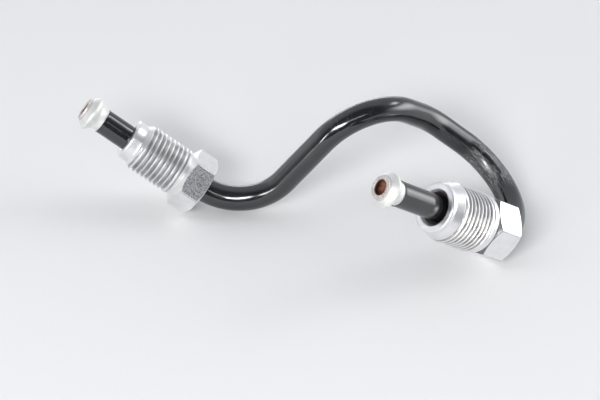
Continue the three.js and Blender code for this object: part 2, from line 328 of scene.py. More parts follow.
@dataclass
class Centreline:
    """The line that the pipe follows, from its M10 tip to its M12 tip.

    Attributes:
        bends: The straights and bends, in order.
        last_straight: The straight after the last bend.
        radius: Every bend's radius.
        ease: Over how much of each end of a bend the rings' inward direction grows to its length of 1.
        turn: The rotation from the line's own axes to the frame's, set by `lay`.
        origin: The M10 tip in the frame, set by `lay`.
    """

    bends: tuple[Bend, ...] = (
        Bend(27.65, 86.9, 0.0),
        Bend(12.15, 93.2, 218.4),
        Bend(4.2, 30.7, -94.0),
        Bend(5.4, 158.0, 6.7),
    )
    last_straight: float = 29.7
    radius: float = 12.5
    ease: float = 4.0
    turn: np.ndarray = field(default_factory=lambda: np.eye(3))
    origin: np.ndarray = field(default_factory=lambda: np.zeros(3))

    @property
    def length(self) -> float:
        """The developed length of the pipe."""
        arcs = sum(math.radians(bend.angle) * self.radius for bend in self.bends)
        return arcs + sum(bend.straight for bend in self.bends) + self.last_straight

    def legs(self) -> list[tuple[float, float, float]]:
        """Lists where each straight and bend starts and ends.

        Returns:
            For each leg its start, its end and how far it turns in degrees, which is 0 on a straight.
        """
        found = []
        station = 0.0
        for bend in self.bends:
            found.append((station, station + bend.straight, 0.0))
            station += bend.straight
            arc = math.radians(bend.angle) * self.radius
            found.append((station, station + arc, bend.angle))
            station += arc
        found.append((station, station + self.last_straight, 0.0))
        return found

    def rings(self, stations: np.ndarray) -> Rings:
        """Places rings at stations.

        On a bend the line is the start, plus the radius times the sine of the turned angle along it, plus
        the radius times one less the cosine towards the bend's middle. The side turns with the line.

        Args:
            stations: Distances from the M10 tip, in order.

        Returns:
            The rings there, in the frame.
        """
        count = len(stations)
        centres, along, side, inward = (np.zeros((count, 3)) for _ in range(4))
        point = np.zeros(3)
        ahead, middle, flank = np.eye(3)
        twists = [bend.twist for bend in self.bends]
        legs = self.legs()
        for number, (start, end, angle) in enumerate(legs):
            low = -np.inf if number == 0 else start
            high = np.inf if number == len(legs) - 1 else end
            here = (stations >= low) & (stations < high)
            distance = (stations[here] - start)[:, None]
            if angle == 0:
                centres[here] = point + distance * ahead
                along[here], side[here] = ahead, flank
                point = point + (end - start) * ahead
                continue
            twist = math.radians(twists.pop(0))
            middle = math.cos(twist) * middle + math.sin(twist) * np.cross(ahead, middle)
            axis = np.cross(ahead, middle)
            phi = distance / self.radius
            centres[here] = point + self.radius * (np.sin(phi) * ahead + (1 - np.cos(phi)) * middle)
            along[here] = np.cos(phi) * ahead + np.sin(phi) * middle
            inward[here] = np.cos(phi) * middle - np.sin(phi) * ahead
            side[here] = (flank @ middle) * inward[here] + (flank @ axis) * axis
            ease = np.clip(np.minimum(distance, end - start - distance) / self.ease, 0, 1)
            inward[here] *= ease**2 * (3 - 2 * ease)
            last = math.radians(angle)
            point = point + self.radius * (math.sin(last) * ahead + (1 - math.cos(last)) * middle)
            turned = math.cos(last) * middle - math.sin(last) * ahead
            flank = (flank @ middle) * turned + (flank @ axis) * axis
            ahead = math.cos(last) * ahead + math.sin(last) * middle
            middle = turned
        turn = self.turn.T
        return Rings(centres @ turn + self.origin, along @ turn, side @ turn, inward @ turn)

    def stations(self, start: float, end: float, straight_step: float, bend_step: float) -> np.ndarray:
        """Lists stations between two others.

        Args:
            start: The first station.
            end: The last station.
            straight_step: The largest step on a straight.
            bend_step: The largest step on a bend.

        Returns:
            The stations, both ends among them.
        """
        found = [np.array([start])]
        for low, high, angle in self.legs():
            low, high = max(low, start), min(high, end)
            if high <= low:
                continue
            step = bend_step if angle else straight_step
            found.append(np.linspace(low, high, max(2, math.ceil((high - low) / step) + 1))[1:])
        return np.concatenate(found)

    def lay(self, m10: End, m12: End) -> None:
        """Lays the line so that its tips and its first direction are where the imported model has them.

        Args:
            m10: The M10 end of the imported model.
            m12: Its M12 end.
        """
        ends = self.rings(np.array([0.0, self.length])).centres
        own = self.basis(np.array([1.0, 0, 0]), ends[1] - ends[0])
        there = self.basis(-m10.outward, m12.tip - m10.tip)
        self.turn = there.T @ own
        self.origin = m10.tip
        miss = np.linalg.norm(self.rings(np.array([self.length])).centres[0] - m12.tip)
        log.info("the centreline is %.1f mm long and ends %.4f mm from the packed tip", self.length, miss)

    @staticmethod
    def basis(first: np.ndarray, towards: np.ndarray) -> np.ndarray:
        """Three square directions as rows: the first, then the part of the second that is square to it."""
        first = unit(first)
        second = unit(towards - (towards @ first) * first)
        return np.stack([first, second, np.cross(first, second)])


@dataclass(frozen=True)
class End:
    """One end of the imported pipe.

    Attributes:
        tip: The middle of the flare's rim.
        outward: The direction that the tip points in.
        off_plane: How far from the rim's plane one of its points may lie.
        reach: How far from the mount one of its points may lie.
    """

    tip: np.ndarray
    outward: np.ndarray
    off_plane: ClassVar[float] = 0.02
    reach: ClassVar[float] = 6.0

    @classmethod
    def from_frame(cls, frame: dict, mount: str) -> End:
        """Finds an end by the mount on its rim.

        Args:
            mount: The mount's name.

        Returns:
            The end, with its tip at the middle of the pipe's points that lie in the rim's plane.
        """
        found = next(row for row in frame["record"]["mounts"] if row["name"] == mount)
        outward = unit(np.array(found["axis"], float))
        rim = np.array(found["pos_m"], float) / MM
        mesh = frame["nodes"]["steel_pipe"].data
        flat = np.empty(len(mesh.vertices) * 3, np.float32)
        mesh.vertices.foreach_get("co", flat)
        points = flat.reshape(-1, 3).astype(float) / MM
        level = np.abs((points - rim) @ outward) < cls.off_plane
        near = np.linalg.norm(points - rim, axis=1) < cls.reach
        ring = np.unique(np.round(points[level & near], 3), axis=0)
        return cls((ring.min(axis=0) + ring.max(axis=0)) / 2, outward)

    def axes(self) -> tuple[np.ndarray, np.ndarray, np.ndarray]:
        """Finds three square directions.

        Returns:
            Down as far as the end allows, the way in along the pipe, and the direction square to both.
        """
        inward = -self.outward
        down = np.array([0, 0, -1.0])
        down = unit(down - (down @ inward) * inward)
        return down, inward, np.cross(inward, down)


@dataclass
class SteelPipe:
    """The tube with its two flares, as one closed surface.

    Attributes:
        outer: The tube's outer diameter.
        wall: Its wall.
        flare: The flare's largest diameter.
        rim: The outer diameter of the raised face round the bore.
        crest: How far behind the tip the flare is widest.
        foot: How far behind the tip the flare ends.
        step: How deep the shoulder behind the raised face is.
        lip: How far the mouth is pressed in, on the radius.
        mouth_depth: How far behind the tip the mouth is narrowest.
        blend: The length behind the flare over which it goes over into the tube.
        steps: Points from one knot of a profile to the next.
        columns: Points round a ring.
    """

    outer: float = 4.75
    wall: float = 0.7
    flare: float = 7.1
    rim: float = 4.5
    crest: float = 1.75
    foot: float = 3.6
    step: float = 0.36
    lip: float = 0.14
    mouth_depth: float = 0.2
    blend: float = 0.4
    steps: int = 5
    columns: int = 96

    @property
    def bore(self) -> float:
        """The bore's radius."""
        return self.outer / 2 - self.wall

    def outside(self) -> tuple[np.ndarray, np.ndarray]:
        """The flare's outer profile, from the mouth to the tube.

        It runs over the mouth's rounded lip and the raised face, down the shoulder, up a nearly straight
        cone to the crest and down the back, whose slope is that of a cosine's half turn.

        Returns:
            The depth behind the tip and the radius of each point.
        """
        rim, crest, tube, mouth = self.rim / 2, self.flare / 2, self.outer / 2, self.bore - self.lip
        rise, deep = crest - rim, self.crest
        fall, back = crest - tube, self.foot - self.crest
        mouth_lip = [(self.mouth_depth, mouth), (0.05, mouth + 0.04), (0.0, mouth + 0.17)]
        raised_face = [(0.0, rim - 0.1), (0.04, rim)]
        shoulder = [(self.step, rim + 0.03), (self.step + 0.08, rim + 0.12 * rise)]
        cone = [(share * deep, rim + out * rise) for share, out in ((0.4, 0.34), (0.6, 0.62), (0.8, 0.87))]
        top = [(0.95 * deep, crest - 0.02), (1.06 * deep, crest - 0.01)]
        slope = ((0.2, 0.12), (0.4, 0.38), (0.6, 0.68), (0.8, 0.92))
        behind = [(deep + share * back, crest - down * fall) for share, down in slope]
        end = [(self.foot, tube + 0.01), (self.foot + self.blend, tube)]
        knots = np.array(mouth_lip + raised_face + shoulder + cone + top + behind + end)
        return smooth_line(knots, self.steps)

    def inside(self) -> tuple[np.ndarray, np.ndarray]:
        """The bore's profile, from the tube to the mouth.

        Inside the flare the bore swells by the wall that the pressing folded out.

        Returns:
            The depth behind the tip and the radius of each point.
        """
        widest = self.flare / 2 - 1.3 * self.wall
        mouth = self.bore - self.lip
        knots = np.array([
            (self.foot + self.blend, self.bore), (self.foot - 0.4 * self.wall, self.bore + 0.03),
            (self.crest + 0.65 * self.wall, widest - 0.3 * self.wall), (self.crest, widest),
            (self.crest - 0.5, widest - 0.25), (self.wall, self.bore + 0.12), (0.45, mouth + 0.01),
            (self.mouth_depth, mouth),
        ])
        return smooth_line(knots, self.steps)

    def build(self, line: Centreline) -> bpy.types.Object:
        """Makes the tube: out along its outside from tip to tip, and back along its bore.

        Args:
            line: The centreline.

        Returns:
            The object.
        """
        depth, radius = self.outside()
        depth_in, radius_in = self.inside()
        middle = line.stations(depth[-1], line.length - depth[-1], 2.0, 0.45)[1:-1]
        tube, bore = np.full(len(middle), self.outer / 2), np.full(len(middle), self.bore)
        path = np.concatenate([
            depth, middle, line.length - depth[::-1],
            line.length - depth_in[::-1][1:], middle[::-1], depth_in[:-1],
        ])
        radii = np.concatenate([radius, tube, radius[::-1], radius_in[::-1][1:], bore, radius_in[:-1]])
        inner = np.zeros(len(path))
        inner[len(depth) * 2 + len(middle):] = 1
        rings = line.rings(path)
        points = rings.centres[:, None] + radii[:, None, None] * rings.spokes(self.columns)
        behind = np.minimum(path, line.length - path)
        skin = Skin("steel_pipe_skin")
        traits = make_traits(behind[:, None], radii[:, None], ring_angles(self.columns), inner[:, None])
        skin.add_grid(points, traits, close_rows=True)
        return skin.build()


@dataclass
class Coating:
    """The black plastic sleeve on the tube.

    Attributes:
        outer: Its outer diameter.
        inner: Its inner diameter.
        setback: How far behind each tip it is cut.
        lip: The rounding of its cut edge.
        burr: How far the knife raised the edge.
        burr_length: How far from the edge the burr has sunk to a third.
        waves: The length, height and shift of each wave of the ripple along it.
        columns: Points round a ring.
    """

    outer: float = 5.05
    inner: float = 4.81
    setback: float = 4.4
    lip: float = 0.06
    burr: float = 0.03
    burr_length: float = 0.25
    waves: tuple[tuple[float, float, float], ...] = ((7.3, 0.004, 0.0), (2.9, 0.002, 1.1), (17.0, 0.005, 4.0))
    columns: int = 96

    def build(self, line: Centreline) -> bpy.types.Object:
        """Makes the sleeve as a closed surface: its outside, its cut ends and its inside.

        The outer radius is the nominal one, less a ripple whose highest crest would just reach it, plus a
        burr that fades away from each cut, less the rounding of the lip.

        Args:
            line: The centreline.

        Returns:
            The object.
        """
        start, end = self.setback, line.length - self.setback
        near = np.linspace(0, 1.5, 40)[:-1] ** 1.6  # rows that crowd towards the cut
        middle = line.stations(start + near[-1], end - near[-1], 0.7, 0.4)
        stations = np.concatenate([start + near[:-1], middle, end - near[:-1][::-1]])
        cut = np.minimum(stations - start, end - stations)
        burr = self.burr * np.exp(-((cut / self.burr_length) ** 2))
        lip = round_over(cut, self.lip)
        dip = sum(height for _, height, _ in self.waves)
        radius = self.outer / 2 - dip + ripple(stations, self.waves) + burr - lip
        rings = line.rings(stations)
        spokes = rings.spokes(self.columns)
        facing = np.einsum("ijk,ik->ij", spokes, rings.inward)
        outside = rings.centres[:, None] + radius[:, None, None] * spokes
        inside = rings.centres[:, None] + self.inner / 2 * spokes
        traits = make_traits(stations[:, None], self.outer / 2, ring_angles(self.columns), facing)
        skin = Skin("polyamide_coating_skin")
        points = np.concatenate([outside, inside[::-1]])
        skin.add_grid(points, np.concatenate([traits, traits[::-1]]), close_rows=True)
        return skin.build()


class Mark(Enum):
    """What a nut's surface is, for its finish. A thread's groove has its depth instead, from 0 to 1."""

    TURNED = 0.0  # the nose and the barrel
    REAMED = -0.25  # the chamfers of the bore
    CHAMFER = -0.5  # the hexagon's chamfers and end faces
    DRAWN = -1.0  # its flats
    BORE = 2.0


@dataclass
class UnionNut:
    """A union nut: nose, thread, collar or neck, and hexagon, bored through.

    Distances along the nut start at its nose.

    Attributes:
        name: The object's name.
        thread: The thread's outer diameter.
        nose: The nose's diameter.
        nose_length: Its length.
        thread_start: Where the cone behind the nose reaches the thread's diameter.
        thread_end: Where the groove has run out.
        collar_end: Where the barrel falls to the neck.
        neck: The neck's diameter.
        hex_start: The hexagon's front face.
        hex_front: The diameter of that face.
        length: The nut's length.
        bore: The bore's diameter.
        bore_chamfer: The chamfer at both ends of the bore.
        flat_turn: How far a flat is turned off facing down, in degrees.
        pitch: The thread's pitch.
        run_out: The turns over which the groove lifts out at its end.
        run_in: The turns over which it dips in at its start.
        groove_depth: How deep the groove is, for each millimetre of pitch.
        root: The rounding of its root, for each millimetre of pitch.
        crest: The rounding of the thread's crests.
        flats: The hexagon's width across flats.
        chamfer: The angle of the hexagon's chamfers, from its faces, in degrees.
        hex_back: The diameter of the back face.
        nose_edge: The rounding of the nose.
        edge: The rounding of the other edges.
        corner: The power of the mean that joins the flats. The higher it is, the sharper their corners are.
        columns: Points round a ring.
        rows_per_pitch: Rows in one turn of the thread.
    """

    name: str
    thread: float
    nose: float
    nose_length: float
    thread_start: float
    thread_end: float
    collar_end: float
    neck: float
    hex_start: float
    hex_front: float
    length: float
    bore: float
    bore_chamfer: float
    flat_turn: float
    pitch: float = 1.0
    run_out: float = 1.0
    run_in: float = 1 / 3
    groove_depth: float = 0.6134
    root: float = 0.07
    crest: float = 0.06
    flats: float = 11.0
    chamfer: float = 30.0
    hex_back: float = 11.0
    nose_edge: float = 0.4
    edge: float = 0.09
    corner: float = 150.0
    columns: int = 216
    rows_per_pitch: int = 22

    @property
    def slope(self) -> float:
        """How far a chamfer goes along the nut for each millimetre outwards."""
        return math.tan(math.radians(self.chamfer))

    def blank(self, along: np.ndarray) -> np.ndarray:
        """The turned barrel's radius before the thread is cut: its nose, cone, barrel and neck."""
        nose, thread, neck = self.nose / 2, self.thread / 2, self.neck / 2
        rounding = round_over(along, self.nose_edge)
        cone = nose + (along - self.nose_length) * (thread - nose) / (self.thread_start - self.nose_length)
        barrel = smooth_min(np.maximum(nose - rounding, cone), np.full_like(along, thread), self.edge)
        fall = neck + np.clip(self.collar_end - along, 0, None) / self.slope
        return smooth_min(barrel, fall, self.edge)

    def groove(self, along: np.ndarray, turns: np.ndarray) -> np.ndarray:
        """The radius of the thread's groove, which is above the barrel where there is no groove.

        It is the root's radius plus, past a short rounded root, the distance from the groove's middle times
        the cotangent of 30 degrees. The middle goes forward one pitch a turn, from a quarter pitch past the
        start. The root lifts out of the barrel before the first turn and over the run-out's turns.

        Args:
            along: Distances from the nose.
            turns: The angle there, in turns.

        Returns:
            The groove's radius.
        """
        root = self.thread / 2 - self.groove_depth * self.pitch
        first = self.thread_start - self.pitch / 2
        cycle = (along - first) / self.pitch - turns - 0.25
        offset = (cycle - np.round(cycle)) * self.pitch
        middle = along - offset
        rounded = np.sqrt(offset**2 + (self.root * self.pitch) ** 2) - self.root * self.pitch
        run_out = np.clip((middle - self.thread_end) / (self.pitch * self.run_out) + 1, 0, None)
        run_in = np.clip((first - middle) / (self.pitch * self.run_in), 0, None)
        return root + rounded * math.sqrt(3) + (0.65 * run_out + run_in) * self.pitch

    def hexagon(self, along: np.ndarray, turns: np.ndarray) -> np.ndarray:
        """The hexagon's radius, its corners cut to a cone at both ends.

        A flat's radius is half the width over the cosine of the angle from its middle. The three nearest
        flats are joined by a high power mean, which rounds the corners.

        Args:
            along: Distances from the nose.
            turns: The angle from the middle of a flat, in turns.

        Returns:
            The radius.
        """
        cosines = np.stack([np.cos(2 * math.pi * turns - flat * math.pi / 3) for flat in range(6)])
        mean = (np.clip(cosines, 0, None) ** self.corner).sum(axis=0) ** (1 / self.corner)
        prism = self.flats / 2 / mean
        front = self.hex_front / 2 + (along - self.hex_start) / self.slope
        back = self.hex_back / 2 + (self.length - along) / self.slope
        return smooth_min(prism, smooth_min(front, back, self.edge), 2.5 * self.edge)

    def build(self, end: End, station: float) -> bpy.types.Object:
        """Makes the nut as one closed surface.

        Its rows go along the outside from the bore's mouth to the back face, and come back along the bore.
        The thread's rows climb one pitch a turn, so that its crests and roots lie on rows.

        Args:
            end: The end that the nut slides on.
            station: How far behind the tip its nose is.

        Returns:
            The object.
        """
        down, inward, flank = end.axes()
        turns = np.linspace(0, 1, self.columns, endpoint=False)
        angle = 2 * math.pi * turns - math.radians(self.flat_turn)
        spokes = np.cos(angle)[:, None] * down + np.sin(angle)[:, None] * flank
        skin = Skin(self.name)

        def add(along: np.ndarray, radius: np.ndarray, mark: float | np.ndarray, shift: int = 0) -> None:
            """Adds rows at distances and radii, with the finish's mark."""
            given = [np.asarray(value, float) for value in (along, radius, mark)]
            given = [value if value.ndim == 2 else value.reshape(-1, 1) for value in given]
            along, radius, mark, _ = np.broadcast_arrays(*given, turns[None])
            points = end.tip + (station + along)[..., None] * inward + radius[..., None] * spokes
            skin.add_grid(points, make_traits(along, radius, 2 * math.pi * turns, mark), shift=shift)

        bore, mouth = self.bore / 2, self.bore / 2 + self.bore_chamfer
        tip = np.array([0.0])
        add(np.zeros(8), np.linspace(mouth, self.blank(tip)[0], 8), Mark.TURNED.value)
        low, high = self.nose_length + 0.05, self.collar_end
        plain = np.concatenate([np.linspace(0, self.nose_edge, 10), np.linspace(self.nose_edge, low, 8)[1:]])
        add(plain, self.blank(plain), Mark.TURNED.value)
        step = self.pitch / self.rows_per_pitch
        count = math.ceil((high - low) / step) + self.rows_per_pitch + 1
        rows = (np.arange(count) - self.rows_per_pitch)[:, None] * step
        along = np.clip(low + rows + self.pitch * turns[None], low, high)
        blank = self.blank(along)
        radius = smooth_min(blank, self.groove(along, turns[None]), self.crest)
        depth = np.clip((blank - radius) / (0.5 * self.pitch), 0, 1)
        add(along, radius, depth, self.rows_per_pitch)
        rear = np.linspace(high, self.hex_start, 4)
        add(rear, self.blank(rear), Mark.TURNED.value)
        front = np.linspace(self.hex_start, self.hex_start + 1.3, 36)
        back = np.linspace(self.length - 0.8, self.length, 26)
        side = np.concatenate([front, np.linspace(front[-1], back[0], 12)[1:-1], back])
        prism = self.hexagon(side[:, None], turns[None])
        neck = self.blank(front[:1])[0]
        share = np.linspace(0, 1, 6)[:, None]
        add(np.full(6, front[0]), neck + share * (prism[0] - neck), Mark.CHAMFER.value)
        flat = self.flats / 2 / np.cos(2 * math.pi * (turns - np.round(turns * 6) / 6))
        drawn = np.clip(1 - (flat - prism) / 0.05, 0, 1)
        add(side, prism, Mark.CHAMFER.value + (Mark.DRAWN.value - Mark.CHAMFER.value) * drawn)
        share = np.linspace(1, 0, 8)[:, None]
        add(np.full(8, self.length), mouth + share * (prism[-1] - mouth), Mark.CHAMFER.value)
        deep = self.length - self.bore_chamfer
        inner = np.concatenate([
            np.linspace(self.length, deep, 5),
            np.linspace(deep, self.bore_chamfer, 30)[1:],
            np.linspace(self.bore_chamfer, 0, 5)[1:],
        ])
        widening = np.clip(np.maximum(self.bore_chamfer - inner, inner - deep), 0, None)
        add(inner, bore + widening, np.where(widening > 0.02, Mark.REAMED.value, Mark.BORE.value))
        return skin.build()


class Nodes:
    """A node tree that is being wired, in a material or a group."""

    def __init__(self, tree: bpy.types.NodeTree) -> None:
        """Takes the tree and empties it."""
        self.tree = tree
        tree.nodes.clear()

    def add(self, kind: str, settings: dict[str, object] | None = None, **inputs: object) -> bpy.types.Node:
        """Adds a node.

        Args:
            kind: The node's type, without the leading ShaderNode.
            settings: The node's own properties.
            inputs: Its inputs by name, with spaces as underscores, each a value or a socket to link.

        Returns:
            The node.
        """
        node = self.tree.nodes.new(kind if kind.startswith("Node") else "ShaderNode" + kind)
        for name, value in (settings or {}).items():
            setattr(node, name, value)
        for name, value in inputs.items():
            self.put(node.inputs[name.replace("_", " ")], value)
        return node

    def put(self, socket: bpy.types.NodeSocket, value: object) -> None:
        """Links a socket to another, or sets its value."""
        if isinstance(value, bpy.types.NodeSocket):
            self.tree.links.new(value, socket)
        else:
            socket.default_value = value

    def math(self, operation: str, *values: object, clamp: bool = False) -> bpy.types.NodeSocket:
        """Adds a Math node and returns its result."""
        node = self.add("Math", {"operation": operation, "use_clamp": clamp})
        for socket, value in zip(node.inputs, values):
            self.put(socket, value)
        return node.outputs[0]

    def fit(
        self, value: object, low: object, high: object, to_low: object = 0.0, to_high: object = 1.0
    ) -> bpy.types.NodeSocket:
        """Adds a smooth Map Range node and returns its result."""
        node = self.add("MapRange", {"interpolation_type": "SMOOTHSTEP"})
        for socket, entry in zip(node.inputs, (value, low, high, to_low, to_high)):
            self.put(socket, entry)
        return node.outputs[0]

    def mix(self, share: object, first: object, second: object) -> bpy.types.NodeSocket:
        """Adds a colour Mix node and returns its result."""
        node = self.add("Mix", {"data_type": "RGBA"})
        for number, entry in ((0, share), (6, first), (7, second)):
            self.put(node.inputs[number], entry)
        return node.outputs[2]

    def attribute(self, name: str, output: str) -> bpy.types.NodeSocket:
        """Reads one of the mesh's attributes."""
        return self.add("Attribute", {"attribute_name": name}).outputs[output]

    def stretch(self, vector: bpy.types.NodeSocket, *scale: float) -> bpy.types.NodeSocket:
        """Scales a vector along each axis and returns it."""
        return self.add("Mapping", Vector=vector, Scale=scale).outputs[0]

    def group(self, tree: bpy.types.NodeTree, **inputs: object) -> bpy.types.NodeSocket:
        """Places a group and returns its output."""
        return self.add("Group", {"node_tree": tree}, **inputs).outputs[0]

    def feed(
        self, shader: bpy.types.Node, colour: object, rough: object, height: object, relief: float
    ) -> None:
        """Feeds a Principled shader.

        Args:
            shader: The shader.
            colour: Its base colour.
            rough: Its roughness.
            height: The height from 0 to 1 that its bump is made from.
            relief: How high that bump is, in metres.
        """
        bump = self.add("Bump", Height=height, Distance=relief, Strength=1.0)
        for name, value in (("Base Color", colour), ("Roughness", rough), ("Normal", bump.outputs[0])):
            self.put(shader.inputs[name], value)


@dataclass
class Patterns:
    """The shader groups that more than one finish uses, each built once.

    Attributes:
        mottle: Soft blotches at two scales, from 0 to 1.
        scuff: Fine broken scratches, 1 on a scratch, in the direction that the vector is stretched in.
        lathe: The rings that a turning tool leaves, as a height from 0 to 1.
    """

    mottle: bpy.types.NodeTree
    scuff: bpy.types.NodeTree
    lathe: bpy.types.NodeTree

    @classmethod
    def make(cls) -> Patterns:
        """Builds the three groups."""
        return cls(cls._mottle(), cls._scuff(), cls._lathe())

    @staticmethod
    def _start(
        name: str, inputs: dict[str, float | None], output: str
    ) -> tuple[Nodes, bpy.types.NodeSocket, dict[str, bpy.types.NodeSocket]]:
        """Makes an empty group.

        Args:
            name: The group's name.
            inputs: Its inputs and their first values, or None for a vector.
            output: The name of its output.

        Returns:
            The tree's wiring, the output's socket to feed, and the inputs' sockets by name.
        """
        tree = bpy.data.node_groups.new(name, "ShaderNodeTree")
        for label, value in inputs.items():
            kind = "NodeSocketVector" if value is None else "NodeSocketFloat"
            socket = tree.interface.new_socket(label, in_out="INPUT", socket_type=kind)
            if value is not None:
                socket.default_value = value
        tree.interface.new_socket(output, in_out="OUTPUT", socket_type="NodeSocketFloat")
        nodes = Nodes(tree)
        source = nodes.add("NodeGroupInput")
        target = nodes.add("NodeGroupOutput")
        return nodes, target.inputs[output], {label: source.outputs[label] for label in inputs}

    @classmethod
    def _mottle(cls) -> bpy.types.NodeTree:
        """Builds the blotches: a coarse noise plus a third of one seven times finer, spread to 0 and 1."""
        nodes, target, given = cls._start("mottle", {"Vector": None, "Scale": 1.0, "Detail": 3.0}, "Mask")
        fine = nodes.math("MULTIPLY", given["Scale"], 7.0)
        large = nodes.add("TexNoise", Vector=given["Vector"], Scale=given["Scale"], Detail=given["Detail"])
        small = nodes.add("TexNoise", Vector=given["Vector"], Scale=fine, Detail=given["Detail"])
        both = nodes.math("MULTIPLY_ADD", small.outputs[0], 0.33, large.outputs[0])
        nodes.put(target, nodes.fit(both, 0.45, 0.88))
        return nodes.tree

    @classmethod
    def _scuff(cls) -> bpy.types.NodeTree:
        """Builds the scratches: where a stretched noise is near its middle and a coarser one is high."""
        nodes, target, given = cls._start(
            "scuff", {"Vector": None, "Scale": 1.0, "Width": 0.01, "Amount": 0.5}, "Mask"
        )
        lines = nodes.add("TexNoise", Vector=given["Vector"], Scale=given["Scale"], Detail=1.0)
        near = nodes.math("ABSOLUTE", nodes.math("SUBTRACT", lines.outputs[0], 0.5))
        thin = nodes.fit(near, 0.0, given["Width"], 1.0, 0.0)
        coarse = nodes.math("MULTIPLY", given["Scale"], 0.45)
        where = nodes.add("TexNoise", Vector=given["Vector"], Scale=coarse, Detail=2.0)
        limit = nodes.math("SUBTRACT", 1.0, given["Amount"])
        broken = nodes.fit(where.outputs[0], limit, nodes.math("ADD", limit, 0.08))
        nodes.put(target, nodes.math("MULTIPLY", thin, broken))
        return nodes.tree

    @classmethod
    def _lathe(cls) -> bpy.types.NodeTree:
        """Builds the rings: a sine of the distance, with a noise of the distance alone added."""
        nodes, target, given = cls._start("lathe", {"Distance": 0.0, "Feed": 0.1}, "Height")
        rings = nodes.math("DIVIDE", given["Distance"], given["Feed"])
        wave = nodes.math("SINE", nodes.math("MULTIPLY", rings, 2 * math.pi))
        noise = nodes.add("TexNoise", {"noise_dimensions": "1D"}, W=rings, Scale=0.61, Detail=3.0)
        nodes.put(target, nodes.math("ADD", nodes.math("MULTIPLY_ADD", wave, 0.2, 0.2), noise.outputs[0]))
        return nodes.tree


def new_material(name: str) -> tuple[bpy.types.Material, Nodes, bpy.types.Node]:
    """Makes a material with a Principled shader wired to its output.

    Args:
        name: The material's name.

    Returns:
        The material, its wiring and the shader.
    """
    material = bpy.data.materials.new(name)
    material.use_nodes = True
    nodes = Nodes(material.node_tree)
    shader = nodes.add("BsdfPrincipled")
    output = nodes.add("OutputMaterial")
    nodes.put(output.inputs["Surface"], shader.outputs[0])
    return material, nodes, shader


